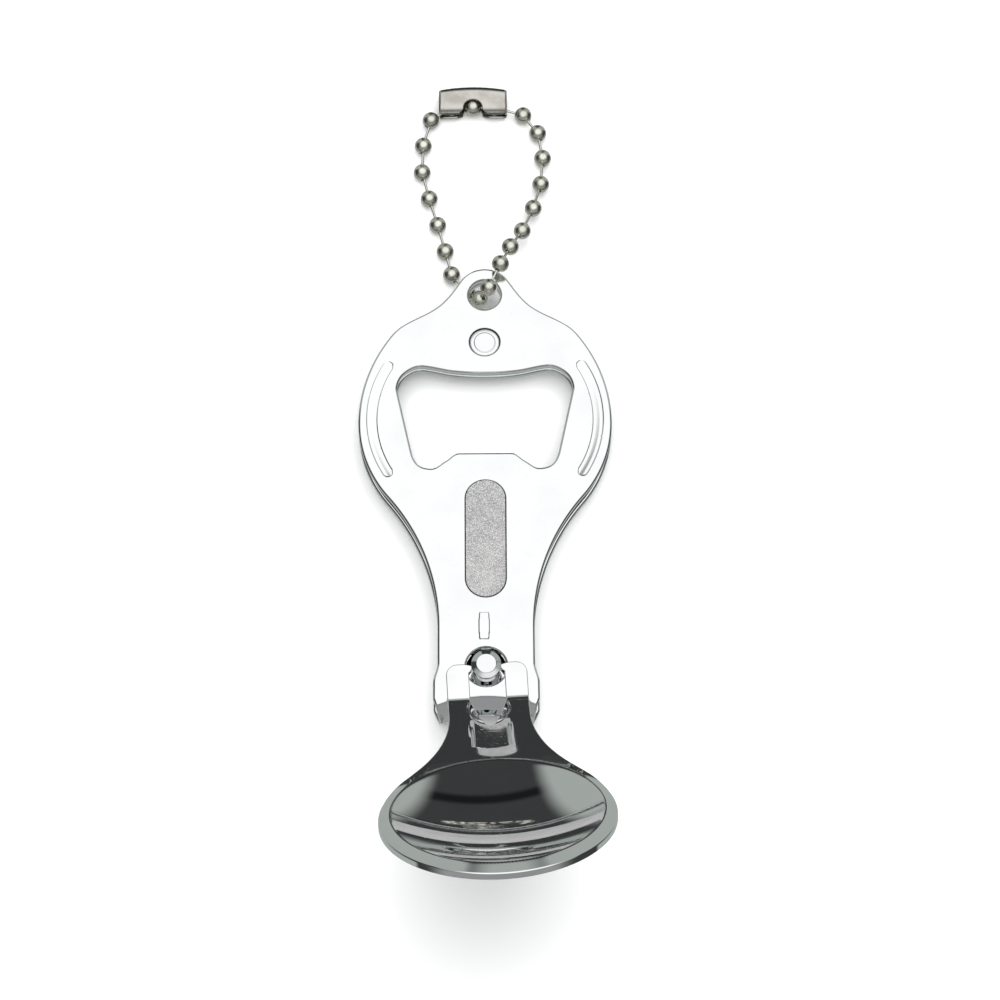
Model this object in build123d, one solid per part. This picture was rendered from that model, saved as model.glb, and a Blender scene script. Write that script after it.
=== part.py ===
from build123d import *
import os
from math import acos, asin, cos, degrees, radians, sin, sqrt, tan

os.makedirs("parts", exist_ok=True)

# A pocket nail clipper with a bottle opener in its body and a ball chain at its tail, in
# millimetres. +Y runs from the post to the chain tab and +Z is up. The origin is the middle
# of the post's foot, on the surface that the clipper lies on.

# jaw plates
SHEET = 1.15                # plate thickness
BULB_R = 17.45              # largest half width, at the bottle opener
BULB_Y = 36.4
SHOULDER_R = 22.2           # rounder sweep from the widest place up to the tab
SHOULDER_SWEEP = 37.9       # degrees
WAIST = 6.55                # half width of the neck
WAIST_R = 30.0              # hollow sweep from the bulb to the neck
JAW_HALF = 7.16             # half width at the jaws
FLARE_TOP, FLARE_END = 0.93, -2.0
TAB_Y, TAB_R = 55.9, 4.0    # chain tab, and the centre of its hole
TAB_MEET = 34              # degrees round the tab at which it runs into the shoulder
TAB_BLEND = (6.3, 54.35)
CHAIN_HOLE_R = 2.2
MATE_Z = 4.0                # height at which the two plates meet at the tail
MATE_GAP = 0.02             # from that height to each plate
BEND_Y = 51.0               # from here the plates lean apart
OPEN_UP, OPEN_DOWN = 1.72, 2.11

# jaws
JAW_SIDE_Y = -4.8           # where the curl starts, at the sides
JAW_R = 19.0                # hollow of the bend line, seen from above
EDGE_R = 17.0               # hollow of the cutting edge, about the same centre
LIP = 0.69                  # reach of the edge past the plate's inner face
JAW_CORNER = (0.91, 2.35)   # chamfer of the front corners, seen from above

# bottle opener, grooves, file and rib
OPENER_TOP, OPENER_TONGUE = 43.9, 31.8
GROOVE_Y, GROOVE_R, GROOVE_WIDE, GROOVE_HALF, GROOVE_DEEP = 36.95, 15.6, 1.6, 31.0, 0.25
FILE_Y, FILE_LONG, FILE_WIDE, FILE_THICK = 19.0, 17.2, 5.4, 0.25
FILE_GAP = 0.1              # all round the file, in its recess
RECESS = 0.2
RIB_X, RIB_Y = -0.25, 6.1
RIB_LONG, RIB_WIDE, RIB_HIGH = 4.0, 1.3, 0.25

# rear rivet
RIVET_Y, RIVET_R, SHANK_R = 48.6, 2.05, 1.2
RIVET_SEAT = 0.46           # depth of the sinkings in the plates
RIVET_PLAY = 0.12           # under and round the upper head, so that the plate can spring

# post
FOOT_R, FOOT_HIGH = 3.2, 0.7
POST_R, NECK_R, HEAD_R, HEAD_FLAT_R = 1.8, 1.45, 2.02, 1.38
NECK_Z, HEAD_Z, POST_TOP = 6.3, 8.3, 8.85
POST_HOLE_Y, POST_HOLE_R = 0.3, 2.72

# lever
LEVER = 0.95                # sheet thickness
PRONG_Z = 7.0               # underside of the fork
TIP = 0.35                  # reach of the fork past the tilt axis
LEVER_BEND = 5.3            # from the post axis to the bend line
RISE = 44.2                 # degrees from the fork up to the blade
LEVER_YAW = 3.0             # the lever stands turned a little to +X on its post
LEVER_HALF = 5.45
SLOT_HALF, NIB = 2.4, 1.72
SLOT_REACH = 7.6            # from the bend line to the slot's pointed end
BEND_R = 2.6                # of the bend's lower side
CHANNEL_HALF, CHANNEL_END = 2.8, 14.5
CHANNEL_DEEP = 0.2          # shallow channel pressed into the blade from the slot's end
FLANK_R = 27.0              # hollow of the flanks, from the blade to the paddle
PADDLE, PADDLE_R = 31.8, 15.35
DISH_R, DISH_DEEP = 13.8, 2.6
RIM_DROP = 0.8              # the paddle's outer rim is turned down by this much

# ball chain
BEAD_R, BEAD_IN_R = 1.2, 1.05
WIRE_R, WIRE_HEAD_R, WIRE_HOLE_R = 0.18, 0.27, 0.24
LINK_LONG = 2.8             # between the middles of a link's two heads
CLASP = (-1.52, 89.8)       # middle of the clasp's folded back
CLASP_LONG, CLASP_DEEP, CLASP_HIGH = 9.7, 4.8, 3.0
CLASP_WALL, CLASP_BEND = 0.28, 0.6
CLASP_Z = 1.52              # height of its middle
CLASP_BEAD_Y = 86.9
NOTCH_Y, NOTCH_R = 86.2, 1.35

ZERO = Axis((0, 0, 0), (0, 0, 1))


def mirrored(half):
    """A face drawn on the +X side, and its mirror image."""
    return half + mirror(half, about=Plane.YZ)


def plate_outline():
    """Both plates are blanked to this outline: tab, bulb, neck and jaws."""
    waist = BULB_R + WAIST_R
    neck_x = WAIST + WAIST_R
    meet = degrees(acos(neck_x / waist))
    neck_y = BULB_Y - waist * sin(radians(meet))
    tab = CenterArc((0, TAB_Y), TAB_R, TAB_MEET, 90 - TAB_MEET)
    shoulder = CenterArc((BULB_R - SHOULDER_R, BULB_Y), SHOULDER_R, 0, SHOULDER_SWEEP)
    blend = Spline(tab @ 0, TAB_BLEND, shoulder @ 1, tangents=[-(tab % 0), -(shoulder % 1)])
    bulb = CenterArc((0, BULB_Y), BULB_R, -meet, meet)
    neck = CenterArc((neck_x, neck_y), WAIST_R, 180 - meet, meet)
    side = Line(neck @ 1, (WAIST, FLARE_TOP))
    flare = Spline(side @ 1, (JAW_HALF, FLARE_END), tangents=[(0, -1), (0, -1)])
    corner_x, corner_y = JAW_CORNER
    chamfer_y = JAW_SIDE_Y + 0.5
    front = Polyline(
        flare @ 1,
        (JAW_HALF, chamfer_y),
        (JAW_HALF - corner_x, chamfer_y - corner_y),
        (JAW_HALF - corner_x, JAW_SIDE_Y - 3),
        (0, JAW_SIDE_Y - 3),
    )
    middle = Line(front @ 1, tab @ 1)
    return mirrored(make_face([tab, blend, shoulder, bulb, neck, side, flare, front, middle]))


def opener():
    """The bottle opener: hooked corners at the top, two lobes and a flat tongue below."""
    top = Spline((0, OPENER_TOP), (4.4, 44.15), (8.6, 44.95), tangents=[(1, 0), (1, 0.1)])
    hook = Spline(top @ 1, (11.2, 43.8), (12.1, 41.4), tangents=[(1, 0.1), (-0.05, -1)])
    wall = Line(hook @ 1, (10.25, 32.7))
    lobe = Spline(wall @ 1, (9.3, 30.2), (7.45, 29.5), tangents=[(-0.2, -1), (-1, 0)])
    step = Spline(lobe @ 1, (5.5, 30.6), (3.6, OPENER_TONGUE), tangents=[(-1, 0), (-1, 0)])
    tongue = Line(step @ 1, (0, OPENER_TONGUE))
    middle = Line(tongue @ 1, top @ 0)
    return mirrored(make_face([top, hook, wall, lobe, step, tongue, middle]))


def grooves():
    """The two crescent grooves pressed beside the bottle opener."""
    arc = CenterArc((0, GROOVE_Y), GROOVE_R, -GROOVE_HALF, 2 * GROOVE_HALF)
    return mirrored(SlotArc(arc, GROOVE_WIDE).face())


def jaw_lip(outline):
    """The curl down to the cutting edge, turned about the hollow's centre and cut to the jaw."""
    centre = JAW_SIDE_Y - sqrt(JAW_R**2 - JAW_HALF**2)
    points = [
        (JAW_R + 0.8, SHEET),
        (JAW_R, SHEET),
        (JAW_R - 0.35, SHEET - 0.07),
        (JAW_R - 0.75, SHEET - 0.3),
        (EDGE_R, -LIP),
        (JAW_R + 0.1, 0),
        (JAW_R + 0.8, 0),
    ]
    section = Plane.YZ * Pos(centre, 0) * make_face(Polyline(*points, close=True))
    ring = revolve(section, Axis((0, centre, 0), (0, 0, 1)), 360)
    prism = Pos(0, 0, -2 * LIP) * extrude(outline, 2 * LIP + SHEET)
    front = Pos(0, centre, 0) * Cylinder(JAW_R, 4 * SHEET)
    return front, ring & prism


def flat_plate(post_hole):
    """A plate before it is bent: inner face at z 0, outer face up, jaw curled inwards."""
    outline = plate_outline()
    bend, lip = jaw_lip(outline)
    plate = extrude(outline, SHEET) - bend + lip
    plate -= extrude(opener(), SHEET)
    plate -= Pos(0, TAB_Y, SHEET / 2) * Cylinder(CHAIN_HOLE_R, 2 * SHEET)
    plate -= Pos(0, RIVET_Y, SHEET / 2) * Cylinder(SHANK_R + 0.1, 2 * SHEET)
    plate -= Pos(0, RIVET_Y, SHEET) * Cylinder(RIVET_R + RIVET_PLAY, 2 * RIVET_SEAT)
    plate -= post_hole
    return plate - Pos(0, 0, SHEET - GROOVE_DEEP) * extrude(grooves(), SHEET)


def bent(plate, angle):
    """Leaves the tail level and leans the rest outwards from the bend line."""
    reach = 80
    tail_side = Pos(0, BEND_Y + reach / 2, 0) * Box(reach, reach, reach)
    tail = plate & tail_side
    front = (plate - tail_side).rotate(Axis((0, BEND_Y, 0), (1, 0, 0)), -angle)
    return tail + front


def on_file(length, width, height):
    """A pill the size of the file, upright, with its foot at z 0."""
    return Pos(0, FILE_Y, 0) * extrude(SlotOverall(length, width, rotation=90), height)


def upper_jaw():
    """Upper plate, with the file's recess and the rib that centres the lever in use."""
    hole = Pos(0, POST_HOLE_Y, SHEET / 2) * Cylinder(POST_HOLE_R, 2 * SHEET)
    plate = flat_plate(hole)
    recess = on_file(FILE_LONG + 2 * FILE_GAP, FILE_WIDE + 2 * FILE_GAP, SHEET)
    plate -= Pos(0, 0, SHEET - RECESS) * recess
    rib_high = SHEET / 2 + RIB_HIGH
    plate += Pos(RIB_X, RIB_Y, SHEET / 2 + rib_high / 2) * Box(RIB_WIDE, RIB_LONG, rib_high)
    return Pos(0, 0, MATE_Z + MATE_GAP) * bent(plate, OPEN_UP)


def file_pad():
    """Emery file, bonded into its recess, a hair proud of the plate."""
    pad = Pos(0, 0, SHEET - RECESS + 0.01) * on_file(FILE_LONG, FILE_WIDE, FILE_THICK)
    return Pos(0, 0, MATE_Z + MATE_GAP) * pad.rotate(Axis((0, BEND_Y, 0), (1, 0, 0)), -OPEN_UP)


def lower_jaw():
    """Lower plate: the same blank turned over, with a close hole for the post."""
    hole = Pos(0, 0, SHEET / 2) * Cylinder(POST_R + 0.1, 2 * SHEET)
    plate = bent(flat_plate(hole), OPEN_DOWN)
    return Pos(0, 0, MATE_Z - MATE_GAP) * mirror(plate, about=Plane.XY)


def turned(profile):
    """A turned piece about the z axis, from (radius, height) corners."""
    return revolve(Plane.XZ * make_face(Polyline(*profile, close=True)), ZERO, 360)


def rear_rivet():
    """Rivet that holds the two plates together at the tail, both heads sunk flush."""
    lean = BEND_Y - RIVET_Y
    top = MATE_Z + MATE_GAP + SHEET + lean * tan(radians(OPEN_UP)) - 0.02
    under = MATE_Z - MATE_GAP - SHEET - lean * tan(radians(OPEN_DOWN)) + 0.02
    head = RIVET_SEAT - RIVET_PLAY - 0.04
    tail_head = RIVET_SEAT - 0.12
    profile = [
        (0, under),
        (RIVET_R - 0.3, under),
        (RIVET_R, under + 0.12),
        (RIVET_R, under + tail_head),
        (SHANK_R, under + tail_head),
        (SHANK_R, top - head),
        (RIVET_R, top - head),
        (RIVET_R, top - 0.12),
        (RIVET_R - 0.38, top),
        (0, top),
    ]
    return Pos(0, RIVET_Y, 0) * turned(profile)


def post():
    """Turned post: foot below the plates, a neck for the fork's nibs and a bevelled head."""
    profile = [
        (0, 0),
        (FOOT_R - 0.3, 0),
        (FOOT_R, 0.25),
        (FOOT_R, FOOT_HIGH),
        (POST_R, FOOT_HIGH),
        (POST_R, NECK_Z),
        (NECK_R, NECK_Z + 0.2),
        (NECK_R, HEAD_Z),
        (HEAD_R, HEAD_Z),
        (HEAD_R, POST_TOP - 0.4),
        (HEAD_FLAT_R, POST_TOP),
        (0, POST_TOP),
    ]
    return turned(profile)


def fork_outline():
    """The fork seen from above: two prongs with rounded tips and nibs that hold the post."""
    past_bend = -LEVER_BEND - 3
    tip_round = 1.5
    tip = ThreePointArc(
        (LEVER_HALF, TIP - tip_round),
        (LEVER_HALF - 0.3 * tip_round, TIP - 0.3 * tip_round),
        (LEVER_HALF - tip_round, TIP),
    )
    nib_end = -TIP - 0.6
    nib_start = (NIB + 1.1, TIP)
    nib = Polyline(tip @ 1, nib_start, (NIB, 0), (NIB, -TIP), (SLOT_HALF, nib_end), (SLOT_HALF, past_bend))
    outer = Polyline(nib @ 1, (LEVER_HALF, past_bend), tip @ 0)
    return mirrored(make_face([tip, nib, outer]))


def flank_meet():
    """Degrees below the paddle's middle line at which its rim runs into the flanks."""
    return degrees(acos((LEVER_HALF + FLANK_R) / (PADDLE_R + FLANK_R)))


def blade_outline():
    """The blade and paddle in their own plane, +X across and +Y away from the bend line."""
    flank_x = LEVER_HALF + FLANK_R
    meet = flank_meet()
    flank_y = PADDLE - (PADDLE_R + FLANK_R) * sin(radians(meet))
    side = Line((LEVER_HALF, -3), (LEVER_HALF, flank_y))
    flank = CenterArc((flank_x, flank_y), FLANK_R, 180 - meet, meet)
    rim = CenterArc((0, PADDLE), PADDLE_R, -meet, 90 + meet)
    middle = Polyline(rim @ 1, (0, SLOT_REACH))
    slot = Spline((0, SLOT_REACH), (1.2, SLOT_REACH - 2.6), (1.8, SLOT_REACH - 5.1), (SLOT_HALF, 0),
                  tangents=[(1, -0.4), (0.1, -1)])
    back = Polyline(slot @ 1, (SLOT_HALF, -3), (LEVER_HALF, -3))
    return mirrored(make_face([side, flank, rim, middle, slot, back]))


def bent_strip():
    """A wide strip of the lever's sheet, level along the fork and rising along the blade."""
    long = PADDLE + PADDLE_R + 3
    ahead, up = -cos(radians(RISE)), sin(radians(RISE))
    corner = LEVER * tan(radians(RISE / 2))
    low = (-LEVER_BEND, PRONG_Z)
    high = (-LEVER_BEND + corner, PRONG_Z + LEVER)
    far_low = (low[0] + ahead * long, low[1] + up * long)
    far_high = (far_low[0] + LEVER * up, far_low[1] - LEVER * ahead)
    strip = make_face(
        Polyline((TIP + 1, PRONG_Z), low, far_low, far_high, high, (TIP + 1, PRONG_Z + LEVER), close=True)
    )
    bend_low = strip.vertices().sort_by_distance(low)[0]
    strip = fillet(bend_low, BEND_R)
    bend_high = strip.vertices().sort_by_distance(high)[0]
    strip = fillet(bend_high, BEND_R - LEVER)
    return extrude(Plane.YZ * strip, 40, both=True)


def blade_plane():
    """Underside of the blade: x across, y away from the bend line, z through the sheet."""
    ahead = (0, -cos(radians(RISE)), sin(radians(RISE)))
    normal = (0, sin(radians(RISE)), cos(radians(RISE)))
    return Plane(origin=(0, -LEVER_BEND, PRONG_Z), x_dir=Vector(*ahead).cross(Vector(*normal)),
                 z_dir=normal)


def dish():
    """The hollow thumb dish, a shallow ball's cap pressed down out of the paddle's sheet."""
    ball_r = (DISH_R**2 + DISH_DEEP**2) / (2 * DISH_DEEP)
    sweep = degrees(asin(DISH_R / ball_r))
    low = CenterArc((0, ball_r - DISH_DEEP), ball_r, -90, sweep)
    high = CenterArc((0, ball_r - DISH_DEEP + LEVER), ball_r, -90, sweep)
    section = make_face([low, Line(low @ 1, high @ 1), high, Line(high @ 0, low @ 0)])
    return revolve(Plane.XZ * section, ZERO, 360)


def rim_sector(section):
    """A section of the paddle's rim, swept round it from one flank to the other."""
    meet = flank_meet()
    start = (Plane.XZ * make_face(Polyline(*section, close=True))).rotate(ZERO, -meet)
    return revolve(start, ZERO, 180 + 2 * meet)


def turned_rim(sheet, paddle):
    """Turns the flat rim of the paddle down, all round its free edge."""
    tall = 3 * LEVER
    flat = [(DISH_R, -tall), (PADDLE_R + 1, -tall), (PADDLE_R + 1, tall), (DISH_R, tall)]
    sloped = [
        (DISH_R, 0),
        (PADDLE_R, -RIM_DROP),
        (PADDLE_R, LEVER - RIM_DROP),
        (DISH_R, LEVER),
    ]
    return sheet - paddle * rim_sector(flat) + paddle * rim_sector(sloped)


def lever():
    """The lever: fork, bend, blade and dished paddle, pressed from one sheet."""
    tall = 60
    fork = extrude(fork_outline(), tall)
    plane = blade_plane()
    blade = plane * Pos(0, 0, -tall / 2) * extrude(blade_outline(), tall)
    bend_side = Pos(0, tall / 2 - LEVER_BEND + 0.4, 0) * Box(tall, tall, 4 * tall)
    strip = bent_strip()
    sheet = (strip & bend_side & fork) + ((strip - bend_side) & blade)
    channel_long = CHANNEL_END - SLOT_REACH + 2 * CHANNEL_HALF
    channel_y = CHANNEL_END - channel_long / 2
    channel = SlotOverall(channel_long, 2 * CHANNEL_HALF, rotation=90)
    sheet -= plane * Pos(0, channel_y, LEVER - CHANNEL_DEEP) * extrude(channel, LEVER)
    paddle = plane * Pos(0, PADDLE, 0)
    sheet -= paddle * Cylinder(DISH_R - 0.01, 4 * LEVER)
    sheet = turned_rim(sheet, paddle) + paddle * dish()
    return sheet.rotate(ZERO, LEVER_YAW)


# The chain's beads in order, from the middle of the clasp to its other end: along the +X
# side, over the tab, down through its hole, and back under the plates along the -X side.
BEADS = [
    (CLASP[0], CLASP_BEAD_Y, CLASP_Z),
    (CLASP[0] + 3.1, CLASP_BEAD_Y, CLASP_Z),
    (5.63, 85.75, BEAD_R),
    (7.7, 82.9, BEAD_R),
    (8.35, 78.95, BEAD_R),
    (8.05, 74.65, 1.6),
    (6.95, 70.55, 2.3),
    (5.36, 66.65, 3.1),
    (3.66, 63.3, 5.0),
    (2.26, 59.8, 6.9),
    (0.62, 56.45, 6.35),
    (-0.68, 56.0, 3.4),
    (-2.5, 58.1, BEAD_R + 0.05),
    (-4.6, 60.8, BEAD_R),
    (-5.5, 64.4, BEAD_R),
    (-6.55, 68.5, BEAD_R),
    (-7.75, 72.65, BEAD_R),
    (-8.75, 76.8, BEAD_R),
    (-8.6, 81.0, BEAD_R),
    (-7.5, 85.05, BEAD_R),
    (CLASP[0] - 3.05, CLASP_BEAD_Y, CLASP_Z),
]


def bead(number):
    """A hollow bead, open where its links' wires leave it."""
    middle = Vector(*BEADS[number])
    ball = Sphere(BEAD_R) - Sphere(BEAD_IN_R)
    for other in (number - 1, number + 1):
        if 0 <= other < len(BEADS):
            way = Vector(*BEADS[other]) - middle
            hole = Cylinder(WIRE_HOLE_R, 2 * BEAD_R, align=(Align.CENTER, Align.CENTER, Align.MIN))
            ball -= Plane(origin=(0, 0, 0), z_dir=way) * hole
    return Pos(*middle) * ball


def link(number):
    """A dumb-bell pin between one bead and the next, a head inside each."""
    start, end = Vector(*BEADS[number]), Vector(*BEADS[number + 1])
    pin = Cylinder(WIRE_R, LINK_LONG) + Pos(0, 0, LINK_LONG / 2) * Sphere(WIRE_HEAD_R)
    pin += Pos(0, 0, -LINK_LONG / 2) * Sphere(WIRE_HEAD_R)
    return Plane(origin=(start + end) / 2, z_dir=end - start) * pin


def clasp_section(deep, high, bend):
    """The clasp's folded section, from its back at y 0 to its open front, along X."""
    flat = Pos(-deep / 2, 0) * Rectangle(deep, high)
    return Plane.YZ * fillet(flat.vertices().group_by(Axis.X)[-1], bend)


def chain_clasp():
    """Clasp folded from thin sheet: rounded back, two flanges with a notch, slotted ends."""
    corner = 1.1
    notch_y = NOTCH_Y - CLASP[1]
    plan = Pos(0, -CLASP_DEEP / 2) * Rectangle(CLASP_LONG, CLASP_DEEP)
    plan -= Pos(0, notch_y) * Circle(NOTCH_R)
    plan -= Pos(0, notch_y - CLASP_DEEP / 2) * Rectangle(2 * NOTCH_R, CLASP_DEEP)
    plan = fillet(plan.vertices().group_by(Axis.Y)[0], corner)
    folded = extrude(clasp_section(CLASP_DEEP, CLASP_HIGH, CLASP_BEND), CLASP_LONG / 2, both=True)
    bar = folded & Pos(0, 0, -CLASP_HIGH) * extrude(plan, 2 * CLASP_HIGH)
    inside = clasp_section(CLASP_DEEP, CLASP_HIGH - 2 * CLASP_WALL, CLASP_BEND - CLASP_WALL)
    room = Pos(0, -CLASP_WALL) * extrude(inside, CLASP_LONG / 2 - CLASP_WALL, both=True)
    slot_top = CLASP_BEAD_Y - CLASP[1] + 0.3
    slot = Pos(0, slot_top - CLASP_DEEP / 2) * Box(2 * CLASP_LONG, CLASP_DEEP, 0.9)
    return Pos(CLASP[0], CLASP[1], CLASP_Z) * (bar - room - slot)


def save(name, shape):
    export_step(shape, f"parts/{name}.step")


save("upper_jaw", upper_jaw())
save("lower_jaw", lower_jaw())
save("rear_rivet", rear_rivet())
save("file_pad", file_pad())
save("post", post())
save("lever", lever())
save("chain_clasp", chain_clasp())
for number in range(len(BEADS)):
    save(f"chain_bead_{number + 1:02d}", bead(number))
for number in range(len(BEADS) - 1):
    save(f"chain_link_{number + 1:02d}", link(number))
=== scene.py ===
from math import acos, asin, atan2, cos, degrees, exp, hypot, log, pi, radians, sin, sqrt, tan

import bpy
import numpy as np
from mathutils import Matrix, Vector
from mathutils.geometry import delaunay_2d_cdt


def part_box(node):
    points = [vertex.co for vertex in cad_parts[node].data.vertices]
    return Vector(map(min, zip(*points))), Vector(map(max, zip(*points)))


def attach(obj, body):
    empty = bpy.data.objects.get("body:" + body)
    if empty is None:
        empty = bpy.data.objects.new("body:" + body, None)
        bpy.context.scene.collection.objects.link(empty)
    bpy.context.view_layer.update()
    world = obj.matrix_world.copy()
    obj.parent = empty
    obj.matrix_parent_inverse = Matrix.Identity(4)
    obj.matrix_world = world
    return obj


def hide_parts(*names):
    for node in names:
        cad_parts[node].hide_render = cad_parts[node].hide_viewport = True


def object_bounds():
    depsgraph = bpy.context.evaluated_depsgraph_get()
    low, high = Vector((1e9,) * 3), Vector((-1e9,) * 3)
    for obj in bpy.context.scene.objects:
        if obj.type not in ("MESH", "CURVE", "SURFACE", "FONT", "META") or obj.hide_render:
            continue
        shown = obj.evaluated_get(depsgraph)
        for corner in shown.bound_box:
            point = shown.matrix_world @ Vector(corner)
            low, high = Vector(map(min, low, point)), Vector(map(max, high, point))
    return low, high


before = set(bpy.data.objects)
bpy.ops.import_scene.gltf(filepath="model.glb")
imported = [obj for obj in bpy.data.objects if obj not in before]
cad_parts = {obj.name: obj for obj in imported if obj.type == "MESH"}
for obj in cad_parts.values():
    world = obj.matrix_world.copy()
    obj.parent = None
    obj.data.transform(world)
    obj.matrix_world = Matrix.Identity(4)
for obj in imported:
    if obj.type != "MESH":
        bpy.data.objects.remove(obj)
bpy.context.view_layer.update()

# ---------------------------------------------------------------------------------------------
# Jaw plates: two blanks of 1.15 mm spring steel, cut to one outline, curled at the jaws, ground
# to an edge, polished and chrome plated. The tail ends lie together and the rest leans apart.

mm = 0.001
SHEET = 1.15
BULB_R, BULB_Y = 17.45, 36.4
SHOULDER_R, SHOULDER_SWEEP = 22.2, 37.9
WAIST, WAIST_R = 6.55, 30.0
JAW_HALF, FLARE_TOP, FLARE_END = 7.16, 0.93, -2.0
TAB_Y, TAB_R, TAB_MEET, CHAIN_HOLE_R = 55.9, 4.0, 34, 2.2
TAB_BLEND = (6.3, 54.35)
MATE_Z, MATE_GAP, BEND_Y, BEND_EASE = 4.0, 0.02, 51.0, 0.6
OPEN_UP, OPEN_DOWN = radians(1.72), radians(2.11)
JAW_SIDE_Y, JAW_R, LIP = -4.8, 19.0, 0.69
CURL_R, CURL = 1.0, radians(51)
CHAMFER_TOP, CHAMFER_END = (7.16, -4.3), (6.25, -6.62)
OPENER_TOP, OPENER_TONGUE = 43.9, 31.8
GROOVE_Y, GROOVE_R, GROOVE_HALF_WIDE, GROOVE_HALF, GROOVE_DEEP = 36.95, 15.6, 0.8, radians(31), 0.25
FILE_Y, FILE_LONG, FILE_WIDE, FILE_GAP, RECESS = 19.0, 17.2, 5.4, 0.1, 0.2
RIB_X, RIB_Y, RIB_LONG, RIB_WIDE, RIB_HIGH = -0.25, 6.1, 4.0, 1.3, 0.25
RIVET_Y, RIVET_SINK_R, RIVET_SEAT = 48.6, 2.17, 0.46
POST_HOLE_Y, POST_HOLE_R, POST_FIT_R = 0.3, 2.72, 1.9
EDGE, POCKET_EDGE = 0.36, 0.1


def arc(x, y, r, start, sweep, step=0.45):
    """Points along an arc, from its start through its sweep, in degrees."""
    count = max(2, int(abs(radians(sweep)) * r / step))
    turns = [radians(start + sweep * i / count) for i in range(count + 1)]
    return [(x + r * cos(a), y + r * sin(a)) for a in turns]


def line(a, b, step=0.8):
    """Points along a straight edge."""
    count = max(1, int(hypot(b[0] - a[0], b[1] - a[1]) / step))
    return [(a[0] + (b[0] - a[0]) * i / count, a[1] + (b[1] - a[1]) * i / count) for i in range(count + 1)]


def fair(points, first, last, step=0.4):
    """A fair curve through points, leaving along first and arriving along last."""
    knots = [np.array(p, float) for p in points]
    ends = [np.array(first, float), np.array(last, float)]
    ends = [e / np.linalg.norm(e) for e in ends]
    out = []
    for i in range(len(knots) - 1):
        a, b = knots[i], knots[i + 1]
        chord = np.linalg.norm(b - a)
        before = ends[0] if i == 0 else (b - knots[i - 1]) / np.linalg.norm(b - knots[i - 1])
        if i == len(knots) - 2:
            after = ends[1]
        else:
            after = (knots[i + 2] - a) / np.linalg.norm(knots[i + 2] - a)
        count = max(2, int(chord / step))
        for k in range(count + 1):
            s = k / count
            p = (
                (2 * s**3 - 3 * s**2 + 1) * a
                + (s**3 - 2 * s**2 + s) * chord * before
                + (3 * s**2 - 2 * s**3) * b
                + (s**3 - s**2) * chord * after
            )
            out.append(tuple(p))
    return out


def joined(*runs):
    """Runs of points end to end, without doubles."""
    out = []
    for run in runs:
        for p in run:
            if not out or hypot(p[0] - out[-1][0], p[1] - out[-1][1]) > 1e-4:
                out.append(p)
    if hypot(out[0][0] - out[-1][0], out[0][1] - out[-1][1]) < 1e-4:
        out.pop()
    return out


def both_sides(right):
    """A closed outline from its +X half, which starts and ends on the middle line."""
    return joined(right, [(-x, y) for x, y in reversed(right)])


def area(loop):
    p = np.array(loop)
    q = np.roll(p, -1, axis=0)
    return 0.5 * float(np.sum(p[:, 0] * q[:, 1] - q[:, 0] * p[:, 1]))


def turned_way(loop, sign):
    return loop if area(loop) * sign > 0 else loop[::-1]


def outward(loop):
    """At each point of a loop, the miter that leads out of the metal on its left."""
    p = np.array(loop)
    ahead = np.roll(p, -1, axis=0) - p
    ahead /= np.linalg.norm(ahead, axis=1)[:, None]
    side = np.column_stack([ahead[:, 1], -ahead[:, 0]])
    both = side + np.roll(side, 1, axis=0)
    size = np.linalg.norm(both, axis=1)
    unit = both / size[:, None]
    miter = np.minimum(2 / size, 1.5)
    return unit, miter


def within(points, loops):
    """Which points lie inside the outer loop and outside the holes."""
    inside = np.zeros(len(points), bool)
    x, y = points[:, 0], points[:, 1]
    for loop in loops:
        p = np.array(loop)
        q = np.roll(p, -1, axis=0)
        for (x0, y0), (x1, y1) in zip(p, q):
            if y0 == y1:
                continue
            crosses = (y0 > y) != (y1 > y)
            inside ^= crosses & (x < (x1 - x0) * (y - y0) / (y1 - y0) + x0)
    return inside


def filled(loops, inner):
    """Triangles over the face between loops, through inner points. The loops' points come first."""
    rim = [tuple(p) for loop in loops for p in loop]
    edges, start = [], 0
    for loop in loops:
        edges += [(start + i, start + (i + 1) % len(loop)) for i in range(len(loop))]
        start += len(loop)
    inner = np.array(inner, float).reshape(-1, 2)
    if len(inner):
        inner = inner[within(inner, loops)]
        border = np.array(rim)
        near = np.array([np.min(np.hypot(*(border - p).T)) for p in inner])
        inner = inner[near > NEAREST]
    points = rim + [tuple(p) for p in inner]
    found = delaunay_2d_cdt([Vector(p) for p in points], edges, [], 0, 1e-7)
    first = [ids[0] if len(ids) else -1 for ids in found[3]]
    faces = [tuple(first[i] for i in face) for face in found[2]]
    faces = [f for f in faces if -1 not in f and len(set(f)) == 3]
    p = np.array(points)
    middles = np.array([p[list(f)].mean(axis=0) for f in faces])
    keep = within(middles, loops)
    return points[len(rim):], [f for f, k in zip(faces, keep) if k]


ROUND = [90, 60, 30, 0]
NEAREST = 0.11


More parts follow.
